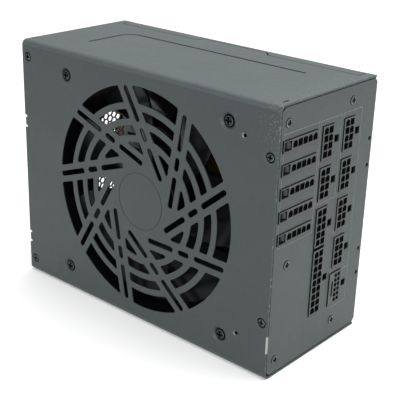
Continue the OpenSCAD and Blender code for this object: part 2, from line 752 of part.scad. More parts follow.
// Transformer: its core is a block with two windows, its winding fills them around the middle leg
module transformer_core() color(ferrite) on_board(x_rear + 122, 76) translate([0, 0, 3]) difference() {
    block([42, 18, 36]);
    for (i = [-1, 1]) translate([10.75 * i, 0, 6]) block([9.5, 20, 24]);
}

module transformer_winding() color([0.8, 0.7, 0.25])
    on_board(x_rear + 122, 76) translate([0, 0, 3]) difference() {
    translate([0, 0, 6.4]) block([30, 34, 23.2]);
    block([12, 18, 40]);
}

module standby_transformer() color([0.75, 0.65, 0.2]) on_board(x_rear + 122, 112) {
    translate([0, 0, 3]) block([20, 14, 18]);
    translate([0, 0, 5]) block([12, 20, 13]);
    for (i = [-1, 1]) translate([0, 8 * i, 0]) block([14, 3, 5.1]);
}

module secondary_heatsinks() color([0.55, 0.56, 0.58])
    for (x = [x_rear + 148, x_rear + 158]) on_board(x, 78) {
        translate([-1.25, -28, 1]) cube([2.5, 56, 30]);
        for (j = [0:6]) translate([1.25 - skin, -28 + j * 8.8, 24]) cube([4, 3.2, 7]);
    }

module output_capacitors() color([0.7, 0.71, 0.74])
    for (z = [44:9.5:112]) on_board(x_rear + 167, z) difference() {
        cylinder(r = 4, h = 14);
        for (turn = [0, 90]) rotate(turn) translate([-3, -0.2, 13.7]) cube([6, 0.4, 1]);
    }

module converter_board() on_board(x_rear + 138, case_h - 18) {
    color(board_green) translate([-30, -0.8, 0]) cube([60, board_t, 32]);
    color(ferrite) for (x = [-19, 0, 19]) translate([x, -4.8, 14]) block([12, 8, 12]);
    color(black) for (x = [-24, -12, 12, 24]) translate([x, 1.6, 6]) block([6, 1.6, 5]);
}

module control_board() on_board(x_rear + 134, 22) {
    color(board_green) translate([-26, -0.8, 0]) cube([52, board_t, 28]);
    color(black) for (x = [-16, 2]) translate([x, 1.6, 10]) block([10, 1.6, 8]);
    color(black) translate([17, -2, 12]) block([7, 2.4, 7]);
}

module mains_fuse() color(steel) on_board(x_rear + 8, 62) {
    translate([0, -10, 4]) rotate([-90, 0, 0]) cylinder(r = 2.6, h = 20);
    for (j = [-8, 8]) translate([0, j, 0]) block([5, 2, 2.4]);
}

module inrush_relay() color(black) on_board(x_rear + 27, case_h - 12.7) block([15, 17, 15.5]);

// ---------- modular side ----------

module modular_board() color(board_green) difference() {
    translate([modular_x - board_t, modular_y[0], board_z[0] + 0.5])
        cube([board_t, modular_y[1] - modular_y[0], case_h - 8]);
    on_panel() for (p = panel_screw_ab) translate([p.x, p.y, -20]) cylinder(r = 1.6, h = 10);
}

module bus_bars() color(copper)
    for (z = [52, 75, 98]) translate([board_x[1] - 1.5, board_face - 15, z - 7]) difference() {
        cube([modular_x - board_t - board_x[1] + 1.5, 15, 14]);
        translate([-1, 5, 7]) rotate([0, 90, 0]) cylinder(r = 2, h = 9);
    }

// One chamber; every second one has two bevelled corners as its key
module chamber(keyed) {
    w = chamber_w / 2;
    k = 1;
    if (keyed) polygon([[-w + k, -w], [w, -w], [w, w], [-w + k, w], [-w, w - k], [-w, -w + k]]);
    else square(chamber_w, center = true);
}

// Housing over a grid of contacts: rows run down the panel, two columns across it
module double_row_socket(a, b, rows) color(black) on_panel() translate([a, b, 0]) {
    back = modular_x - x_front + panel_inset;
    size = [rows * pin_pitch + 1.2, 9.8];
    difference() {
        translate([-size.x / 2, -size.y / 2, back]) cube([size.x, size.y, socket_proud - back]);
        for (i = [0:rows - 1], j = [0, 1])
            translate([(i - (rows - 1) / 2) * pin_pitch, (j - 0.5) * pin_pitch, socket_proud - chamber_d])
                linear_extrude(chamber_d + 1) chamber((i + j) % 2 == 0);
        for (i = [0:rows - 1], j = [0, 1])
            translate([(i - (rows - 1) / 2) * pin_pitch, (j - 0.5) * pin_pitch, back - 1])
                translate([-0.55, -0.55, 0]) cube([1.1, 1.1, 9]);
    }
    // latch ledge behind the window
    translate([-latch_w / 2 + 0.2, size.y / 2 - skin, back])
        cube([latch_w - 0.4, latch_b - size.y / 2 + 1.2, -back - 2.6]);
}

module peripheral_socket(n) color(black) on_panel() {
    a = peripheral_a + (n - 1) * peripheral_pitch;
    back = modular_x - x_front + panel_inset;
    difference() {
        translate([a - peripheral_h / 2, peripheral_b[0], back])
            cube([peripheral_h, peripheral_b[1] - peripheral_b[0], socket_proud - back]);
        translate([a - peripheral_h / 2 + 0.5, cavity_b[0], socket_proud - chamber_d])
            cube([peripheral_h - 1, cavity_b[1] - cavity_b[0], chamber_d + 1]);
        for (j = [0:4]) translate([a, first_pin_b + j * pin_pitch, 0]) {
            translate([0, 0, socket_proud - chamber_d]) linear_extrude(chamber_d + 1)
                if (j == 1 || j == 2) square(chamber_w, center = true);
                else {
                    circle(chamber_w / 2);
                    translate([0, -chamber_w / 2]) square([chamber_w / 2, chamber_w]);
                }
            translate([-0.55, -0.55, back - 1]) cube([1.1, 1.1, 9]);
        }
    }
}

wide_pins = [for (i = [0:5], j = [0, 1]) [(i - 2.5) * wide_pitch, 0.4 + j * wide_pitch]];
sense_pins = [for (i = [0:3]) [(i - 1.5) * 2, -2.75]];

module graphics_socket_wide() color(black) on_panel() translate([wide_a, wide_b, 0]) {
    back = modular_x - x_front + panel_inset;
    difference() {
        translate([-wide_size.x / 2, -wide_size.y / 2, back])
            cube([wide_size.x, wide_size.y, socket_proud - back]);
        for (p = wide_pins) translate([p.x, p.y, socket_proud - chamber_d]) {
            linear_extrude(chamber_d + 1) square(2.4, center = true);
            translate([-0.4, -0.4, -5]) cube([0.8, 0.8, 6]);
        }
        translate([-4.7, -3.5, socket_proud - 6]) cube([9.4, 1.5, 7]);
        for (p = sense_pins) translate([p.x - 0.25, p.y - 0.25, back - 1]) cube([0.5, 0.5, 9]);
    }
    translate([-latch_w / 2 + 0.2, wide_size.y / 2 - skin, back])
        cube([latch_w - 0.4, latch_b - wide_size.y / 2 + 2, -back - 2.6]);
}

// Square contact pins, soldered in the modular board and standing in the chambers
module contact(p, w, tip) translate([p.x - w / 2, p.y - w / 2, modular_x - x_front + panel_inset])
    cube([w, w, tip - modular_x + x_front - panel_inset]);

module double_row_pins(a, b, rows)
    for (i = [0:rows - 1], j = [0, 1])
        contact([a + (i - (rows - 1) / 2) * pin_pitch, b + (j - 0.5) * pin_pitch], 1.1, socket_proud - 3);

module socket_pins() color([0.8, 0.75, 0.6]) on_panel() {
    for (n = [0:peripheral_count - 1], j = [0:4])
        contact([peripheral_a + n * peripheral_pitch, first_pin_b + j * pin_pitch], 1.1, socket_proud - 3);
    for (a = cpu_a) double_row_pins(a, cpu_b, 4);
    double_row_pins(short_a, cpu_b, short_rows);
    double_row_pins(long_a, cpu_b, long_rows);
    for (i = [0:3]) double_row_pins(graphics_a + i * graphics_pitch, graphics_b, 4);
    for (p = wide_pins) contact([wide_a, wide_b] + p, 0.8, socket_proud - 3);
    for (p = sense_pins) contact([wide_a, wide_b] + p, 0.5, socket_proud - 2);
}

fan_cover();
base_plate();
rear_panel();
modular_panel();
insulating_sheet();
cover_screws();
fan_screws();
panel_screws();
board_screws();
board_standoffs();
fan_frame();
fan_stator();
fan_coils();
fan_bearing();
fan_shaft();
fan_rotor();
fan_magnet_ring();
fan_circuit_board();
fan_lead();
ac_inlet();
inlet_blades();
switch_body();
power_rocker();
switch_contacts();
mains_wires();
main_board();
choke_cores();
choke_windings();
x_capacitors();
y_capacitors();
bridge_rectifiers();
primary_heatsink();
power_transistors();
bulk_capacitors();
transformer_core();
transformer_winding();
standby_transformer();
secondary_heatsinks();
output_capacitors();
converter_board();
control_board();
mains_fuse();
inrush_relay();
modular_board();
bus_bars();
socket_pins();
peripheral_socket(1);  // peripheral_socket_1
peripheral_socket(2);  // peripheral_socket_2
peripheral_socket(3);  // peripheral_socket_3
peripheral_socket(4);  // peripheral_socket_4
peripheral_socket(5);  // peripheral_socket_5
double_row_socket(cpu_a[0], cpu_b, 4);  // cpu_socket_1
double_row_socket(cpu_a[1], cpu_b, 4);  // cpu_socket_2
double_row_socket(short_a, cpu_b, short_rows);  // board_socket_short
double_row_socket(long_a, cpu_b, long_rows);  // board_socket_long
double_row_socket(graphics_a, graphics_b, 4);  // graphics_socket_1
double_row_socket(graphics_a + graphics_pitch, graphics_b, 4);  // graphics_socket_2
double_row_socket(graphics_a + 2 * graphics_pitch, graphics_b, 4);  // graphics_socket_3
double_row_socket(graphics_a + 3 * graphics_pitch, graphics_b, 4);  // graphics_socket_4
graphics_socket_wide();
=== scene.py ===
"""Looks of a fully modular power supply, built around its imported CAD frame.

Frame: +X points out of the modular panel, -Y out of the fan grille, +Z up. Sizes are in metres,
except where a name ends in _MM or a comment says millimetres. Blender adds the fan's blades and
hub, the printed outlines, the rocker's marks and the latch ramps; every other piece is a CAD
node with a procedural material.
"""

import math
from functools import reduce

import bmesh
import bpy
from mathutils import Matrix, Vector
from mathutils.bvhtree import BVHTree


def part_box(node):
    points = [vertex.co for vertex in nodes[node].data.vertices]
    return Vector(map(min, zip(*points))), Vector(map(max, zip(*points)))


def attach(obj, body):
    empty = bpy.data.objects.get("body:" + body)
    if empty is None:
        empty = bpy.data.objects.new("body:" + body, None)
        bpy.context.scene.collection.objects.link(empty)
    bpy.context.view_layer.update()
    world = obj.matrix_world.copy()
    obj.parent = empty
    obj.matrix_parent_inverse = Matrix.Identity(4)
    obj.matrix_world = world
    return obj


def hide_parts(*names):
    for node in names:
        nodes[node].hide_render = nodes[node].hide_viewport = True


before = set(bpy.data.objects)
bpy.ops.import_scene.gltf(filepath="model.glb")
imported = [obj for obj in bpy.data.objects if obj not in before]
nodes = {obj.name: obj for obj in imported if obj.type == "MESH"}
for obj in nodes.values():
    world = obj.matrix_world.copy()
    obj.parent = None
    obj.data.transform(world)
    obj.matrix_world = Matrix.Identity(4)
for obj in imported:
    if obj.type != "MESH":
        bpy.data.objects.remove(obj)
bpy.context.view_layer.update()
MM = 0.001

cover_lo, cover_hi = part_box("fan_cover")
fan_face_y = cover_lo.y
top_z = cover_hi.z
front_x = cover_hi.x
rear_x = cover_lo.x

WIDE_SOCKET = "graphics_socket_wide"
SOCKETS = sorted(n for n in nodes if "socket_" in n and n != "socket_pins")


# ---------- camera ----------

CAMERA_AT = Vector((0.342284, -0.388043, 0.273184))
AZIMUTH, ELEVATION, ROLL = math.radians(40.597), math.radians(22.084), math.radians(1.755)
SENSOR_WIDTH_MM, LENS_MM = 36.0, 84.65


def add_camera():
    back = Vector((math.sin(AZIMUTH) * math.cos(ELEVATION),
                   -math.cos(AZIMUTH) * math.cos(ELEVATION), math.sin(ELEVATION)))
    right = (-back).cross(Vector((0, 0, 1))).normalized()
    up = right.cross(-back)
    turned_right = math.cos(ROLL) * right + math.sin(ROLL) * up
    turned_up = -math.sin(ROLL) * right + math.cos(ROLL) * up
    data = bpy.data.cameras.new("camera")
    data.sensor_width = SENSOR_WIDTH_MM
    data.lens = LENS_MM
    data.clip_start, data.clip_end = 0.01, 20
    camera = bpy.data.objects.new("camera", data)
    bpy.context.scene.collection.objects.link(camera)
    turn = Matrix((turned_right, turned_up, back)).transposed()
    camera.matrix_world = Matrix.Translation(CAMERA_AT) @ turn.to_4x4()
    bpy.context.scene.camera = camera


# ---------- materials ----------

def linear(r, g, b):
    """A display colour, 0 to 255, as linear light."""
    def one(v):
        v /= 255
        return v / 12.92 if v <= 0.04045 else ((v + 0.055) / 1.055) ** 2.4
    return (one(r), one(g), one(b), 1.0)


def scaled(color, k):
    return (color[0] * k, color[1] * k, color[2] * k, 1.0)


class Surface:
    """One procedural material: a Principled shader, with masks mixed into it one after another."""

    def __init__(self, name, color, roughness, metallic=0.0, coat=0.0):
        self.material = bpy.data.materials.new(name)
        self.material.use_nodes = True
        self.tree = self.material.node_tree
        self.shader = self.tree.nodes["Principled BSDF"]
        self.color = color
        self.shader.inputs["Base Color"].default_value = color
        self.shader.inputs["Roughness"].default_value = roughness
        self.shader.inputs["Metallic"].default_value = metallic
        self.shader.inputs["Coat Weight"].default_value = coat
        self.coords = self.tree.nodes.new("ShaderNodeTexCoord").outputs["Object"]

    def put(self, node, socket, value):
        if isinstance(value, bpy.types.NodeSocket):
            self.tree.links.new(value, node.inputs[socket])
        else:
            node.inputs[socket].default_value = value

    def math(self, operation, a, b=0.0, c=0.0):
        node = self.tree.nodes.new("ShaderNodeMath")
        node.operation = operation
        for i, value in enumerate((a, b, c)):
            self.put(node, i, value)
        return node.outputs[0]

    def product(self, *values):
        return reduce(lambda a, b: self.math("MULTIPLY", a, b), values)

    def total(self, *values):
        return reduce(lambda a, b: self.math("ADD", a, b), values)

    def any_of(self, masks):
        """The largest of some masks at each place."""
        return reduce(lambda a, b: self.math("MAXIMUM", a, b), masks)

    def inverse(self, mask):
        return self.math("SUBTRACT", 1.0, mask)

    def length(self, a, b):
        return self.math("SQRT", self.math("MULTIPLY_ADD", a, a, self.math("MULTIPLY", b, b)))

    def axis(self, name):
        """One object coordinate, in metres."""
        node = self.tree.nodes.new("ShaderNodeSeparateXYZ")
        self.put(node, 0, self.coords)
        return node.outputs[name]

    def away_from(self, axis, value):
        """Distance from the plane axis = value."""
        return self.math("ABSOLUTE", self.math("SUBTRACT", self.axis(axis), value))

    def near(self, axis, value, reach):
        """1 on the plane axis = value, falling to 0 at reach metres from it."""
        return self.rise(self.away_from(axis, value), reach, 0.0)

    def within(self, axis, low, high):
        """1 between two planes, and 0 outside them."""
        place = self.axis(axis)
        return self.product(self.math("GREATER_THAN", place, low),
                            self.math("LESS_THAN", place, high))

    def stretched(self, x, y, z):
        node = self.tree.nodes.new("ShaderNodeMapping")
        self.put(node, "Vector", self.coords)
        node.inputs["Scale"].default_value = (x, y, z)
        return node.outputs[0]

    def noise(self, size, detail, vector=None):
        """Noise whose features are about size metres across."""
        node = self.tree.nodes.new("ShaderNodeTexNoise")
        self.put(node, "Vector", vector or self.coords)
        node.inputs["Scale"].default_value = 1.0 / size
        node.inputs["Detail"].default_value = detail
        return node.outputs["Fac"]

    def cells(self, size, feature="F1"):
        node = self.tree.nodes.new("ShaderNodeTexVoronoi")
        node.feature = feature
        self.put(node, "Vector", self.coords)
        node.inputs["Scale"].default_value = 1.0 / size
        return node.outputs["Distance"]

    def rise(self, value, low, high):
        """0 below low, 1 above high, smooth between. Low above high gives a fall instead."""
        node = self.tree.nodes.new("ShaderNodeMapRange")
        node.interpolation_type = "SMOOTHSTEP"
        falling = low > high
        self.put(node, "Value", value)
        node.inputs["From Min"].default_value = min(low, high)
        node.inputs["From Max"].default_value = max(low, high)
        node.inputs["To Min"].default_value = 1.0 if falling else 0.0
        node.inputs["To Max"].default_value = 0.0 if falling else 1.0
        return node.outputs["Result"]

    def tint(self, mask, color):
        """Moves the base colour to another one where the mask is 1."""
        node = self.tree.nodes.new("ShaderNodeMix")
        node.data_type = "RGBA"
        base = self.shader.inputs["Base Color"]
        before = base.links[0].from_socket if base.links else self.color
        factor, a, b = [s for s in node.inputs if s.enabled]
        self.tree.links.new(mask, factor)
        if isinstance(before, bpy.types.NodeSocket):
            self.tree.links.new(before, a)
        else:
            a.default_value = before
        b.default_value = color
        self.tree.links.new([s for s in node.outputs if s.enabled][0], base)

    def vary(self, socket, mask, low, high):
        """Drives a shader input from low, where the mask is 0, to high, where it is 1."""
        node = self.tree.nodes.new("ShaderNodeMapRange")
        self.put(node, "Value", mask)
        node.inputs["To Min"].default_value = low
        node.inputs["To Max"].default_value = high
        self.tree.links.new(node.outputs["Result"], self.shader.inputs[socket])

    def bump(self, height, depth):
        """Adds relief that is depth metres high where the height is 1."""
        node = self.tree.nodes.new("ShaderNodeBump")
        node.inputs["Distance"].default_value = depth
        node.inputs["Strength"].default_value = 1.0
        self.tree.links.new(height, node.inputs["Height"])
        normal = self.shader.inputs["Normal"]
        if normal.links:
            self.tree.links.new(normal.links[0].from_socket, node.inputs["Normal"])
        self.tree.links.new(node.outputs["Normal"], normal)


PAINT = (0.075, 0.092, 0.093, 1.0)
BARE_STEEL = linear(232, 232, 226)
RUBBED_PAINT = linear(150, 152, 148)
SCUFFED_PAINT = linear(150, 156, 154)
CUT_EDGE = linear(128, 130, 128)

# Depths below the fan face: the painted highlight on the opening rims runs from RIM_FROM to RIM_TO,
# and the painted shade on their sides from RIM_TO to WALL_TO
RIM_FROM, RIM_TO, WALL_TO = 0.00003, 0.0003, 0.0014
BOSS_LINE_DEPTH = 0.00015

# The long shallow groove in the top side, whose floor gets painted shade
GROOVE_DEPTH = 0.0007
GROOVE_X, GROOVE_Y = (-0.09, 0.09), (-0.032, 0.02)

FOLD_HEIGHT = 0.0036  # how far the rounded folds reach from the top and from the bottom
CHIP_Z, CHIP_HALF = 0.0212, 0.0052  # middle and half the length of the chip in the paint
SPARE_HOLES_MM = [(169.0, 19.4), (169.3, 129.6)]  # from the rear end and from the top
SPARE_HOLE_REACH = 0.0035


def clusters(name, gap=0.006):
    """Boxes round the separate pieces of a node, such as its screws."""
    boxes = []
    for vertex in nodes[name].data.vertices:
        at = nodes[name].matrix_world @ vertex.co
        for low, high in boxes:
            if all(low[i] - gap <= at[i] <= high[i] + gap for i in range(3)):
                for i in range(3):
                    low[i], high[i] = min(low[i], at[i]), max(high[i], at[i])
                break
        else:
            boxes.append((at.copy(), at.copy()))
    return boxes


def heads(s, node, across):
    """Each screw head of a node: its radius, then distances from its centre.

    The distances are along the two axes of the head's plane, and in all.
    """
    for low, high in clusters(node):
        centre, head_r = (low + high) / 2, (high.z - low.z) / 2
        first, second = (s.away_from(axis, centre["XYZ".index(axis)]) for axis in across)
        yield head_r, first, second, s.length(first, second)


def around_heads(s, node, inner, outer):
    """1 closer than inner to the rim of a screw head in the fan face, 0 beyond outer."""
    return s.any_of([s.rise(radius, head_r + outer, head_r + inner)
                     for head_r, _, _, radius in heads(s, node, "XZ")])


def powder_coat(name):
    """Satin powder coat: fine orange peel, faint clouding and a few dust specks."""
    s = Surface(name, PAINT, 0.46)
    s.tint(s.rise(s.noise(0.035, 3), 0.3, 0.75), scaled(PAINT, 1.09))
    s.tint(s.rise(s.noise(0.0035, 2), 0.52, 0.8), scaled(PAINT, 0.93))
    specks = s.rise(s.cells(0.006), 0.05, 0.02)
    s.tint(s.product(specks, 0.35), scaled(PAINT, 2.1))
    s.vary("Roughness", s.noise(0.004, 3), 0.38, 0.54)
    s.bump(s.noise(0.0009, 2), 0.000012)
    s.bump(s.noise(0.0042, 1), 0.00001)
    return s


def opening_rim_highlight_and_wall_shade(s):
    """Painted highlight on the rims of the openings in the fan face and along the edges of its
    folds; painted shade on the sides of the openings, but not of its dimples.
    """
    # Painted highlight: a lighter band just behind the face, on the rims of the openings and on the
    # folds
    s.tint(s.within("Y", fan_face_y + RIM_FROM, fan_face_y + RIM_TO), scaled(PAINT, 1.9))
    dimples = around_heads(s, "fan_screws", 0.0018, 0.0022)
    # Painted shade on the sides of the openings, deeper behind the face
    wall_shade = s.product(s.within("Y", fan_face_y + RIM_TO, fan_face_y + WALL_TO),
                      s.within("Z", FOLD_HEIGHT, top_z - FOLD_HEIGHT), s.inverse(dimples))
    s.tint(wall_shade, scaled(PAINT, 0.12))


def rubbed_edges(s):
    """Paint rubbed along the front edge, and scuffed at its upper end."""
    rub = s.rise(s.noise(0.0022, 4), 0.55, 0.72)
    edge = s.product(s.near("X", front_x, 0.0007), s.near("Y", fan_face_y, 0.0035))
    s.tint(s.product(edge, rub), RUBBED_PAINT)
    scuffs = s.rise(s.noise(0.0012, 3), 0.56, 0.66)
    corner = s.product(s.near("X", front_x, 0.017), s.near("Z", top_z - 0.012, 0.024))
    s.tint(s.product(scuffs, corner, 0.8), SCUFFED_PAINT)


def paint_chip(s):
    """A ragged chip in the front edge, down to the steel."""
    ragged = s.math("MULTIPLY_ADD", s.noise(0.0016, 3), 0.004, -0.002)
    along = s.total(s.away_from("Z", CHIP_Z), ragged)
    edge = s.product(s.near("X", front_x, 0.0011), s.near("Y", fan_face_y, 0.0018))
    chip = s.product(s.rise(along, CHIP_HALF, CHIP_HALF - 0.0006), s.rise(edge, 0.15, 0.4))
    s.tint(chip, BARE_STEEL)
    s.bump(chip, -0.00008)


def pressed_line_shade(s):
    """Painted shade on the floor of the groove in the top side and of the round line in the middle
    of the grille.
    """
    floor = s.near("Z", top_z - GROOVE_DEPTH, 0.0003)
    groove = s.product(floor, s.within("X", *GROOVE_X), s.within("Y", *GROOVE_Y))
    s.tint(groove, scaled(PAINT, 0.2))
    s.tint(s.near("Y", fan_face_y + BOSS_LINE_DEPTH, 0.00008), scaled(PAINT, 0.5))


def spare_hole_rims(s):
    """1 on the cut edges of the two spare holes in the fan face."""
    below_face = s.rise(s.axis("Y"), fan_face_y + 0.00006, fan_face_y + 0.0001)
    rims = []
    for x_mm, z_mm in SPARE_HOLES_MM:
        hole = s.product(s.near("X", rear_x + x_mm * MM, SPARE_HOLE_REACH),
                         s.near("Z", top_z - z_mm * MM, SPARE_HOLE_REACH))
        rims.append(s.product(s.rise(hole, 0.3, 0.34), below_face))
    return s.any_of(rims)


def head_gap_shade(s):
    """1 in the narrow gaps round the screw heads in the fan face: the place of a ring of painted
    shade.
    """
    gaps = s.any_of([around_heads(s, "fan_screws", 0.0002, 0.0008),
                     around_heads(s, "cover_screws", 0.0001, 0.0003)])
    return s.product(gaps, s.rise(s.axis("Y"), fan_face_y + 0.0002, fan_face_y + 0.0004))


def worn_coat_with_painted_light(name):
    """The cover's coat, with its wear and the cut edges of its spare holes, and with painted light:
    highlights on the rims of its openings, and painted shade in its recesses and round its screw
    heads.
    """
    s = powder_coat(name)
    opening_rim_highlight_and_wall_shade(s)
    rubbed_edges(s)
    paint_chip(s)
    pressed_line_shade(s)
    bare = spare_hole_rims(s)
    s.tint(bare, CUT_EDGE)
    # Painted shade: near-black rings in the dimples round the screw heads
    gaps = head_gap_shade(s)
    s.tint(gaps, scaled(PAINT, 0.05))
    # Metallic on the bare cut edges, and on the painted shade round the heads so that it shows no
    # sheen
    s.vary("Metallic", s.any_of([bare, gaps]), 0.0, 1.0)
    return s


def panel_powder_coat():
    """The modular panel's coat, with painted shade on all of it behind its face, such as the cut
    edges of its windows and holes.
    """
    s = powder_coat("panel_powder_coat")
    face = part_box("modular_panel")[1].x
    # Painted shade more than 0.2 mm behind the face
    s.tint(s.rise(s.axis("X"), face - 0.0001, face - 0.0002), scaled(PAINT, 0.3))
    return s


def moulded(name, color, roughness, grain=0.0007, depth=0.00001, coat=0.0):
    """Injection-moulded plastic with spark-eroded grain and slight gloss changes."""
    s = Surface(name, color, roughness, coat=coat)
    s.tint(s.rise(s.noise(0.012, 2), 0.35, 0.8), scaled(color, 1.35))
    s.vary("Roughness", s.noise(0.006, 3), roughness - 0.05, roughness + 0.09)
    s.bump(s.noise(grain, 1), depth)
    return s


def plated(name, color, roughness, along="Z"):
    """Plated or ground metal with fine marks that run along one axis."""
    s = Surface(name, color, roughness, metallic=1.0)
    scale = [1.0, 1.0, 1.0]
    scale["XYZ".index(along)] = 0.06
    marks = s.noise(0.0004, 2, vector=s.stretched(*scale))
    s.tint(s.rise(s.noise(0.003, 3), 0.45, 0.8), scaled(color, 0.72))
    s.vary("Roughness", marks, roughness - 0.07, roughness + 0.12)
    s.bump(marks, 0.000006)
    return s


PIN_PITCH = 0.0042
SOCKET_MARGIN = 0.0012  # how much longer a double-row socket is than its rows
FIRST_CELL_SINGLE, FIRST_CELL_DOUBLE = 0.0073, 0.0007  # from a socket's edge to its first cell
MOUTH_HALF = 0.0019
KEY_CUT = 0.00269       # a keyed mouth's corner is cut where |across| + up is more than this


def chamber_mouths(s, name):
    """1 in the chamfered mouths of a socket's chambers. Keyed ones have their upper corners cut."""
    low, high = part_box(name)
    single_row = name.startswith("peripheral")
    if single_row:
        columns, rows, first_y = 5, 1, low.y + FIRST_CELL_SINGLE
    else:
        columns, rows = 2, round((high.z - low.z - SOCKET_MARGIN) / PIN_PITCH)
        first_y = low.y + FIRST_CELL_DOUBLE
    first_z = (low.z + high.z) / 2 - rows * PIN_PITCH / 2
    mouth, cells, offsets = [], [], []
    for axis, first, count in (("Y", first_y, columns), ("Z", first_z, rows)):
        place = s.math("SUBTRACT", s.axis(axis), first)
        offset = s.math("SUBTRACT", s.math("WRAP", place, PIN_PITCH, 0.0), PIN_PITCH / 2)
        mouth += [s.within(axis, first, first + count * PIN_PITCH),
                  s.math("LESS_THAN", s.math("ABSOLUTE", offset), MOUTH_HALF)]
        cells.append(s.math("FLOOR", s.math("DIVIDE", place, PIN_PITCH)))
        offsets.append(offset)
    if single_row:
        plain = s.within("Y", first_y + PIN_PITCH, first_y + 3 * PIN_PITCH)
    else:
        count = s.total(*cells, rows - 1)
        plain = s.math("GREATER_THAN", s.math("FLOORED_MODULO", count, 2.0), 0.5)
    to_corner = s.total(s.math("ABSOLUTE", offsets[0]), offsets[1])
    corner = s.product(s.math("GREATER_THAN", to_corner, KEY_CUT), s.inverse(plain))
    return s.product(*mouth, s.inverse(corner))


def socket_nylon():
    """Black nylon, with a painted sheen on its front faces and painted shade in the chamber mouths
    in them.
    """
    s = moulded("socket_nylon", linear(22, 23, 24), 0.36)
    front = max(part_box(name)[1].x for name in SOCKETS)
    # Painted sheen: the front faces are lighter grey than the rest of the nylon
    s.tint(s.rise(s.axis("X"), front - 0.0003, front - 0.0001), linear(72, 77, 77))
    # Painted shade: the chamber mouths near-black and metallic, so that they show no sheen
    mouths = s.any_of([chamber_mouths(s, name) for name in SOCKETS if name != WIDE_SOCKET])
    mouths = s.product(mouths, s.rise(s.axis("X"), front - 0.0006, front - 0.0004))
    s.tint(mouths, linear(12, 12, 13))
    s.vary("Metallic", mouths, 0.0, 1.0)
    return s


def screw_finish(name, node, color, across):
    """Dull zinc, with painted shade in the cross recess and round the rim.

    Across names the two axes of the head's plane.
    """
    s = plated(name, color, 0.36, "Z")
    painted_shade_parts = []
    # Painted shade: a ring round the rim of each head, and the cross recess
    for head_r, first, second, radius in heads(s, node, across):
        painted_shade_parts.append(s.product(s.math("GREATER_THAN", radius, 0.86 * head_r),
                                s.math("LESS_THAN", radius, 1.1 * head_r)))
        for wide, narrow in ((first, second), (second, first)):
            taper = s.math("MULTIPLY_ADD", wide, 0.2, narrow)
            painted_shade_parts.append(s.product(s.math("LESS_THAN", wide, 0.64 * head_r),
                                    s.math("LESS_THAN", taper, 0.28 * head_r)))
    painted_shade = s.any_of(painted_shade_parts)
    s.tint(painted_shade, scaled(color, 0.02))
    # The painted shade is metallic, so that it shows no sheen
    s.vary("Metallic", painted_shade, 0.5, 1.0)
    return s


def circuit_board():
    """Solder mask over tracks, with tinned pads."""
    mask_green = linear(22, 52, 38)
    s = Surface("solder_mask", mask_green, 0.32, coat=0.2)
    tracks = s.rise(s.cells(0.005, "DISTANCE_TO_EDGE"), 0.16, 0.12)
    s.tint(tracks, scaled(mask_green, 1.9))
    pads = s.rise(s.cells(0.0031), 0.2, 0.15)
    s.tint(pads, linear(190, 186, 172))
    s.vary("Metallic", pads, 0.0, 0.85)
    s.bump(tracks, 0.00003)
    return s


def sleeve_with_cap(name, color, cap_y):
    """Shrink sleeve round a can, whose vented aluminium end shows beyond cap_y."""
    s = Surface(name, color, 0.28, coat=0.4)
    folds = s.noise(0.0018, 2, vector=s.stretched(1.0, 0.15, 1.0))
    s.tint(s.rise(folds, 0.5, 0.8), scaled(color, 1.6))
    end = s.rise(s.axis("Y"), cap_y, cap_y - 0.0002)
    s.tint(end, linear(200, 202, 205))
    s.vary("Metallic", end, 0.0, 1.0)
    s.bump(folds, 0.00003)
    return s


TAPE_PITCH = 0.0042


def wound_tape():
    """Yellow polyester tape in overlapping turns."""
    color = linear(84, 66, 26)
    s = Surface("wound_tape", color, 0.3, coat=0.3)
    turns = s.math("FRACT", s.product(s.axis("Y"), 1 / TAPE_PITCH))
    s.tint(s.rise(turns, 0.08, 0.0), scaled(color, 0.5))
    s.tint(s.rise(s.noise(0.006, 2), 0.5, 0.75), scaled(color, 0.8))
    s.bump(turns, 0.00006)
    return s


def sintered(name, color):
    s = Surface(name, color, 0.55)
    s.tint(s.rise(s.noise(0.002, 4), 0.5, 0.7), scaled(color, 1.6))
    s.vary("Roughness", s.noise(0.003, 3), 0.42, 0.66)
    s.bump(s.noise(0.0006, 3), 0.00002)
    return s


COPPER = linear(92, 46, 26)
WIRE_PITCH = 0.0017


def enamelled_copper(name):
    s = Surface(name, COPPER, 0.26, metallic=0.85, coat=0.5)
    s.tint(s.rise(s.noise(0.004, 3), 0.4, 0.75), scaled(COPPER, 0.62))
    s.vary("Roughness", s.noise(0.0012, 2), 0.2, 0.36)
    return s


def wound_copper():
    """Turns of enamelled wire round each toroid, as grooves that point at its axis, with painted
    shade in the grooves.
    """
    s = enamelled_copper("wound_copper")
    grooves = []
    for low, high in clusters("choke_windings"):
        centre = (low + high) / 2
        radius = (high.z - low.z) / 2
        dx = s.math("SUBTRACT", s.axis("X"), centre.x)
        dz = s.math("SUBTRACT", s.axis("Z"), centre.z)
        turns = round(2 * math.pi * 0.7 * radius / WIRE_PITCH)
        wave = s.math("SINE", s.product(s.math("ARCTAN2", dz, dx), turns))
        inside = s.math("LESS_THAN", s.length(dx, dz), 1.1 * radius)
        grooves.append(s.product(wave, inside))
    relief = s.total(*grooves)
    # Painted shade in the grooves between the turns
    s.tint(s.rise(relief, -0.3, -0.9), scaled(COPPER, 0.3))
    s.bump(relief, 0.0002)
    return s


def polyester_film():
    color = linear(196, 190, 168)
    s = Surface("polyester_film", color, 0.34)
    s.tint(s.rise(s.noise(0.02, 3), 0.4, 0.8), scaled(color, 0.86))
    s.bump(s.noise(0.015, 2), 0.0001)
    return s


def wire_insulation(name, color):
    s = Surface(name, color, 0.38)
    s.tint(s.rise(s.noise(0.004, 3), 0.45, 0.8), scaled(color, 0.7))
    s.bump(s.noise(0.0012, 2), 0.00003)
    return s


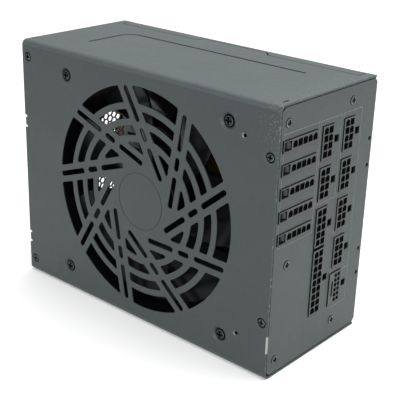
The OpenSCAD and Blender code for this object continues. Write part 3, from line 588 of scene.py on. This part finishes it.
FUSE_GLASS_HALF = 0.0058


def fuse_tube():
    """Glass between two nickel end caps, which are at the ends of the tube."""
    low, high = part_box("mains_fuse")
    s = Surface("fuse_glass", linear(205, 214, 214), 0.08)
    away = s.away_from("Z", (low.z + high.z) / 2)
    cap = s.rise(away, FUSE_GLASS_HALF, FUSE_GLASS_HALF + 0.0002)
    s.tint(cap, linear(186, 184, 176))
    s.vary("Metallic", cap, 0.0, 1.0)
    s.vary("Roughness", s.noise(0.002, 2), 0.05, 0.2)
    return s


def extruded_aluminium():
    color = linear(176, 178, 182)
    s = Surface("extruded_aluminium", color, 0.38, metallic=1.0)
    lines = s.noise(0.0005, 2, vector=s.stretched(1.0, 0.04, 1.0))
    s.tint(s.rise(lines, 0.5, 0.75), scaled(color, 0.8))
    s.vary("Roughness", lines, 0.3, 0.5)
    s.bump(lines, 0.00002)
    return s


def printed_ink():
    color = linear(148, 154, 153)
    s = Surface("printed_ink", color, 0.5)
    s.tint(s.rise(s.noise(0.0012, 3), 0.5, 0.66), linear(112, 118, 117))
    s.bump(s.noise(0.0006, 2), 0.000008)
    return s


def rocker_ink():
    color = linear(214, 214, 208)
    s = Surface("rocker_ink", color, 0.45)
    s.tint(s.rise(s.noise(0.001, 3), 0.55, 0.75), scaled(color, 0.8))
    return s


# ---------- carried-over nodes ----------

def dress(names, surface):
    for name in names:
        slots = nodes[name].material_slots
        for slot in slots:
            slot.material = surface.material
        if not slots:
            nodes[name].data.materials.append(surface.material)


def soften(names, width_mm, segments=2):
    """Rounds the sharp edges of CAD nodes: flat faces are rejoined first, then bevelled."""
    for name in names:
        piece = nodes[name]
        piece.data.polygons.foreach_set("use_smooth", [True] * len(piece.data.polygons))
        weld = piece.modifiers.new("weld", "WELD")
        weld.merge_threshold = 2e-6
        rejoin = piece.modifiers.new("rejoin", "DECIMATE")
        rejoin.decimate_type = "DISSOLVE"
        rejoin.angle_limit = math.radians(0.3)
        bevel = piece.modifiers.new("bevel", "BEVEL")
        bevel.width = width_mm * MM
        bevel.segments = segments
        bevel.limit_method = "ANGLE"
        bevel.angle_limit = math.radians(32)
        bevel.miter_outer = "MITER_ARC"
        bevel.use_clamp_overlap = True
        piece.modifiers.new("normals", "WEIGHTED_NORMAL").weight = 60


def dress_nodes():
    fan_black = moulded("fan_plastic", linear(9, 13, 16), 0.3, 0.0009)
    fan_black.shader.inputs["Specular IOR Level"].default_value = 0.25
    bulk_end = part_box("bulk_capacitors")[0].y + 0.0003
    can_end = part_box("output_capacitors")[0].y + 0.0005
    panel_zinc = screw_finish("panel_screw_zinc", "panel_screws", linear(124, 130, 130), "YZ")
    fan_zinc = screw_finish("fan_screw_zinc", "fan_screws", linear(84, 90, 90), "XZ")
    cover_zinc = screw_finish("cover_screw_zinc", "cover_screws", linear(92, 98, 98), "XZ")
    rocker_black = moulded("rocker_plastic", linear(26, 26, 28), 0.22, 0.0012, 0.000006, coat=0.5)
    for names, surface in (
            (["base_plate", "rear_panel"], powder_coat("powder_coat")),
            (["modular_panel"], panel_powder_coat()),
            (["fan_cover"], worn_coat_with_painted_light("worn_coat_with_painted_light")),
            (SOCKETS, socket_nylon()),
            (["ac_inlet", "switch_body"], moulded("inlet_thermoplastic", linear(30, 31, 32), 0.36)),
            (["power_rocker"], rocker_black),
            (["fan_frame"], fan_black),
            (["bridge_rectifiers", "power_transistors", "inrush_relay"],
             moulded("package_epoxy", linear(32, 32, 34), 0.5)),
            (["panel_screws"], panel_zinc),
            (["fan_screws"], fan_zinc),
            (["cover_screws"], cover_zinc),
            (["board_screws", "fan_shaft", "fan_stator"],
             plated("ground_steel", linear(188, 190, 192), 0.28)),
            (["board_standoffs", "fan_bearing"], plated("brass", linear(196, 158, 82), 0.3, "Y")),
            (["socket_pins", "inlet_blades", "switch_contacts"],
             plated("tinned_contact", linear(206, 200, 178), 0.3, "X")),
            (["bus_bars"], plated("bus_bar_copper", linear(186, 112, 74), 0.3, "Z")),
            (["main_board", "modular_board", "fan_circuit_board", "converter_board",
              "control_board"], circuit_board()),
            (["choke_cores", "transformer_core", "fan_magnet_ring"],
             sintered("ferrite", linear(54, 54, 57))),
            (["transformer_winding", "standby_transformer"], wound_tape()),
            (["fan_coils"], enamelled_copper("enamelled_copper")),
            (["choke_windings"], wound_copper()),
            (["x_capacitors"], moulded("film_box", linear(150, 122, 44), 0.4)),
            (["y_capacitors"], moulded("dipped_disc", linear(52, 96, 150), 0.3, coat=0.4)),
            (["bulk_capacitors"], sleeve_with_cap("bulk_sleeve", linear(30, 28, 42), bulk_end)),
            (["output_capacitors"], sleeve_with_cap("can_sleeve", linear(40, 44, 70), can_end)),
            (["primary_heatsink", "secondary_heatsinks"], extruded_aluminium()),
            (["insulating_sheet"], polyester_film()),
            (["mains_wires"], wire_insulation("mains_insulation", linear(96, 62, 36))),
            (["fan_lead"], wire_insulation("lead_insulation", linear(26, 26, 28))),
            (["mains_fuse"], fuse_tube())):
        dress(names, surface)
    soften(["ac_inlet", "switch_body", "power_rocker", "inlet_blades"], 0.4, 3)
    soften(["x_capacitors", "inrush_relay", "transformer_core", "transformer_winding",
            "standby_transformer", "bridge_rectifiers", "power_transistors"], 0.5)


# ---------- new pieces ----------

def finished_mesh(name, bm):
    mesh = bpy.data.meshes.new(name)
    bm.to_mesh(mesh)
    bm.free()
    return mesh


def add_piece(name, mesh, surface, body):
    piece = bpy.data.objects.new(name, mesh)
    bpy.context.scene.collection.objects.link(piece)
    piece.data.materials.append(surface.material)
    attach(piece, body)
    return piece


def prism(bm, low, high):
    """The faces of a solid between two matching loops of vertices."""
    bm.faces.new(high)
    bm.faces.new(list(reversed(low)))
    for i in range(len(low)):
        j = (i + 1) % len(low)
        bm.faces.new((low[i], low[j], high[j], high[i]))


def lathe(bm, profile, turn, segments=96):
    """Closed ring of faces from a closed profile of (radius, depth) pairs."""
    loops = []
    for i in range(segments):
        c, s = (f(2 * math.pi * i / segments) for f in (math.cos, math.sin))
        loops.append([bm.verts.new(turn(r * c, r * s, z)) for r, z in profile])
    for i in range(segments):
        a, b = loops[i], loops[(i + 1) % segments]
        for j in range(len(profile)):
            k = (j + 1) % len(profile)
            bm.faces.new((a[j], a[k], b[k], b[j]))


# The fan rotor, in millimetres and radians
BLADES, BLADE_T, TIP_R = 7, 1.5, 64.2
HUB_R, HUB_WALL, HUB_FLOOR, HUB_RIM, HUB_TOP = 22.0, 1.5, 1.8, 1.6, 0.3
CENTRE_R = 0.02  # keeps the lathed faces off the axis
ROOT_SINK = 0.8  # how far a blade's root reaches into the hub
CORNER_ROUND = 2.6
CHORD, CHORD_GROWTH = 0.60, 0.16  # angle a blade spans at its root, and how much more at its tip
SWEEP, SWEEP_POWER = 0.30, 1.4
TILT_CLEARANCE, TILT_LOSS, CAMBER = 2.4, 0.22, 1.5  # the blades' rise within the rotor's depth
REST_ANGLE = math.radians(5.3)


def hub_profile(depth, bore):
    turns = [math.radians(d) for d in range(0, 91, 15)]
    arc = [(HUB_R - HUB_RIM + HUB_RIM * math.sin(a), HUB_RIM - HUB_RIM * math.cos(a))
           for a in turns]
    return [(CENTRE_R, 0.0)] + arc + [
        (HUB_R, depth), (HUB_R - HUB_WALL, depth), (HUB_R - HUB_WALL, HUB_FLOOR),
        (bore, HUB_FLOOR), (bore, HUB_TOP), (CENTRE_R, HUB_TOP)]


def blade_point(k, t, across, depth):
    """Point of blade k, t of the way out and across of the way over its chord."""
    corner = CORNER_ROUND * abs(2 * across - 1) ** 5
    root = HUB_R - ROOT_SINK
    r = root + (TIP_R - corner - HUB_R + ROOT_SINK) * t
    chord = CHORD + CHORD_GROWTH * t
    sweep = SWEEP * t ** SWEEP_POWER
    angle = 2 * math.pi * k / BLADES - sweep - chord * (across - 0.5) + REST_ANGLE
    rise = (depth - TILT_CLEARANCE) * (1 - TILT_LOSS * t)
    lift = depth / 2 + rise * (across - 0.5) - CAMBER * math.sin(math.pi * across)
    return r * math.cos(angle), r * math.sin(angle), lift


def fan_rotor(rows=18, columns=14):
    """Swept, twisted and cambered blades on a hub with a rounded rim."""
    low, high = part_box("fan_rotor")
    shaft_lo, shaft_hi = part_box("fan_shaft")
    centre = (shaft_lo + shaft_hi) / 2
    depth = (high.y - low.y) / MM
    bore = (shaft_hi.x - shaft_lo.x) / 2 / MM

    def turn(x, y, z):
        return Vector((centre.x + x * MM, low.y + z * MM, centre.z - y * MM))

    bm = bmesh.new()
    lathe(bm, hub_profile(depth, bore), turn)
    hub_mesh = finished_mesh("fan_hub", bm)

    bm = bmesh.new()
    for k in range(BLADES):
        grid = [[bm.verts.new(turn(*blade_point(k, i / rows, j / columns, depth)))
                 for j in range(columns + 1)] for i in range(rows + 1)]
        for i in range(rows):
            for j in range(columns):
                bm.faces.new((grid[i][j], grid[i][j + 1], grid[i + 1][j + 1], grid[i + 1][j]))
    blade_mesh = finished_mesh("fan_blades", bm)

    black = moulded("rotor_plastic", linear(7, 12, 17), 0.3, 0.0011, 0.000003)
    black.shader.inputs["Specular IOR Level"].default_value = 0.18
    hub_piece = add_piece("fan_hub", hub_mesh, black, "fan_rotor")
    blade_piece = add_piece("fan_blades", blade_mesh, black, "fan_rotor")
    thicken = blade_piece.modifiers.new("thickness", "SOLIDIFY")
    thicken.thickness = BLADE_T * MM
    thicken.offset = 0
    for piece in (hub_piece, blade_piece):
        piece.data.polygons.foreach_set("use_smooth", [True] * len(piece.data.polygons))
        bevel = piece.modifiers.new("bevel", "BEVEL")
        bevel.width = 0.35 * MM
        bevel.segments = 2
        bevel.limit_method = "ANGLE"
        bevel.angle_limit = math.radians(50)
        piece.modifiers.new("normals", "WEIGHTED_NORMAL")
    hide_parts("fan_rotor")
    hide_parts("fan_rotor")


# The outlines on the panel, in millimetres: ranges across from the fan face, and down from the top
PRINT_BOXES = [((4.0, 34.0), (15.0, 75.2)), ((35.0, 53.9), (15.0, 60.5)),
               ((55.5, 73.4), (15.0, 129.0))]
PRINT_DIVIDERS = [((55.5, 73.4), 107.9)]
PRINT_LINE, INK = 0.32, 0.03


def panel_print():
    """Thin printed outlines round the groups of sockets, without their lettering."""
    face_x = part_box("modular_panel")[1].x
    proud = Vector((INK * MM, 0, 0))
    bm = bmesh.new()

    def at(b, a):
        return Vector((face_x, fan_face_y + b * MM, top_z - a * MM))

    def strip(corner, along, across):
        base = [corner, corner + along, corner + along + across, corner + across]
        prism(bm, [bm.verts.new(p) for p in base], [bm.verts.new(p + proud) for p in base])

    def level(b, a):
        strip(at(b[0], a), at(b[1], a) - at(b[0], a), Vector((0, 0, -PRINT_LINE * MM)))

    def upright(b, a):
        start = at(b, a[0] + PRINT_LINE)
        strip(start, at(b, a[1]) - start, Vector((0, PRINT_LINE * MM, 0)))

    for b, a in PRINT_BOXES:
        level(b, a[0])
        level(b, a[1])
        upright(b[0], a)
        upright(b[1] - PRINT_LINE, a)
    for b, a in PRINT_DIVIDERS:
        level((b[0] + PRINT_LINE, b[1] - PRINT_LINE), a)
    add_piece("panel_print", finished_mesh("panel_print", bm), printed_ink(), "case")


# Latch ramps, in millimetres: (along X from the socket's front, along Y from the recess's far wall)
RAMP_PROFILE = [(-0.7, 0.0), (-2.5, -1.0), (-2.9, -1.0), (-2.9, 0.0)]
RAMP_ENDS = (-2.2, 1.2)
RECESS_WALL = 6.4


def latch_ramps():
    """The ramp that a plug's latch slides over, on the far wall of each peripheral recess, coloured
    light grey as a painted highlight on the black nylon.
    """
    bm = bmesh.new()
    for name in SOCKETS:
        if not name.startswith("peripheral"):
            continue
        low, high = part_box(name)
        wall, middle = low.y + RECESS_WALL * MM, (low.z + high.z) / 2
        prism(bm, *[[bm.verts.new((high.x + x * MM, wall + y * MM, middle + z * MM))
                     for x, y in RAMP_PROFILE] for z in RAMP_ENDS])
    bmesh.ops.recalc_face_normals(bm, faces=bm.faces)
    # Painted highlight: a light grey copy of the socket's black nylon
    nylon = moulded("latch_nylon", linear(76, 81, 80), 0.36)
    mesh = finished_mesh("latch_ramps", bm)
    piece = add_piece("latch_ramps", mesh, nylon, "case")
    bevel = piece.modifiers.new("bevel", "BEVEL")
    bevel.width = 0.15 * MM
    bevel.segments = 2


# Marks of the rocker, in millimetres
MARK_FROM_MIDDLE, MARK_R, MARK_LINE = 5.6, 1.35, 0.45
RING_SEGMENTS = 40


def rocker_marks():
    """The bar and the ring of a mains switch, printed on the two slopes of the rocker."""
    mesh = nodes["power_rocker"].data
    skin = BVHTree.FromPolygons([v.co for v in mesh.vertices], [p.vertices for p in mesh.polygons])
    low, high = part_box("power_rocker")
    middle = (low + high) / 2
    from_middle, ring_r, line = MARK_FROM_MIDDLE * MM, MARK_R * MM, MARK_LINE * MM
    into = Vector((1, 0, 0))
    bm = bmesh.new()

    def on_skin(y, z):
        hit = skin.ray_cast(Vector((low.x - 0.01, y, z)), into)[0]
        return bm.verts.new(hit - into * INK * MM), bm.verts.new(hit)

    def slab(corners):
        """Proud and sunk loops of vertices over a loop of (y, z) points."""
        return zip(*(on_skin(y, z) for y, z in corners))

    turns = [2 * math.pi * i / RING_SEGMENTS for i in range(RING_SEGMENTS)]
    ring_y = middle.y - from_middle
    (outer_proud, outer_sunk), (inner_proud, inner_sunk) = (
        slab([(ring_y + r * math.cos(t), middle.z + r * math.sin(t)) for t in turns])
        for r in (ring_r, ring_r - line))
    for i in range(RING_SEGMENTS):
        j = (i + 1) % RING_SEGMENTS
        for a, b in ((outer_proud, inner_proud), (inner_proud, inner_sunk),
                     (inner_sunk, outer_sunk), (outer_sunk, outer_proud)):
            bm.faces.new((a[i], a[j], b[j], b[i]))

    bar_y = middle.y + from_middle
    proud, sunk = slab([(bar_y + y * line / 2, middle.z + z * ring_r)
                        for y, z in ((-1, -1), (1, -1), (1, 1), (-1, 1))])
    prism(bm, sunk, proud)
    bmesh.ops.recalc_face_normals(bm, faces=bm.faces)
    marks = finished_mesh("rocker_marks", bm)
    add_piece("rocker_marks", marks, rocker_ink(), "power_rocker")


# ---------- stage ----------

FLOOR_HALF = 14.0


def add_floor():
    bm = bmesh.new()
    bm.faces.new([bm.verts.new((x * FLOOR_HALF, y * FLOOR_HALF, 0))
                  for x, y in ((-1, -1), (1, -1), (1, 1), (-1, 1))])
    mesh = finished_mesh("floor", bm)
    floor = bpy.data.objects.new("floor", mesh)
    bpy.context.scene.collection.objects.link(floor)
    s = Surface("floor_paper", (0.86, 0.86, 0.855, 1.0), 0.75)
    s.tint(s.rise(s.noise(0.4, 2), 0.4, 0.7), (0.84, 0.84, 0.84, 1.0))
    s.shader.inputs["Emission Color"].default_value = (1.0, 1.0, 1.0, 1.0)
    s.shader.inputs["Emission Strength"].default_value = 0.25
    mesh.materials.append(s.material)
    floor.visible_diffuse = False


def add_light(name, at, aim, size, power, color=(1, 1, 1)):
    data = bpy.data.lights.new(name, "AREA")
    data.shape = "RECTANGLE"
    data.size, data.size_y = size
    data.energy = power
    data.color = color
    light = bpy.data.objects.new(name, data)
    bpy.context.scene.collection.objects.link(light)
    light.location = at
    light.rotation_mode = "QUATERNION"
    light.rotation_quaternion = (Vector(aim) - Vector(at)).to_track_quat("-Z", "Y")


SKY_RISE = (-0.16, -0.02)
SKY_STRENGTH = 0.54


def add_studio():
    scene = bpy.context.scene
    scene.view_settings.view_transform = "Standard"
    world = bpy.data.worlds.new("studio")
    world.use_nodes = True
    tree = world.node_tree
    background = tree.nodes["Background"]
    background.inputs["Color"].default_value = (0.96, 0.99, 1.0, 1.0)
    coords = tree.nodes.new("ShaderNodeTexCoord")
    height = tree.nodes.new("ShaderNodeSeparateXYZ")
    tree.links.new(coords.outputs["Generated"], height.inputs[0])
    sky = tree.nodes.new("ShaderNodeMapRange")
    sky.inputs["From Min"].default_value, sky.inputs["From Max"].default_value = SKY_RISE
    sky.inputs["To Max"].default_value = SKY_STRENGTH
    tree.links.new(height.outputs["Z"], sky.inputs["Value"])
    tree.links.new(sky.outputs["Result"], background.inputs["Strength"])
    scene.world = world
    add_light("overhead", (0.15, 0.25, 1.3), (0, 0, 0.08), (1.5, 1.3), 20, (1.0, 0.985, 0.965))
    add_light("near_front", (0.5, -0.6, 0.35), (0.05, 0, 0.08), (0.35, 0.35), 1.7)


add_camera()
dress_nodes()
fan_rotor()
panel_print()
rocker_marks()
latch_ramps()
add_floor()
add_studio()
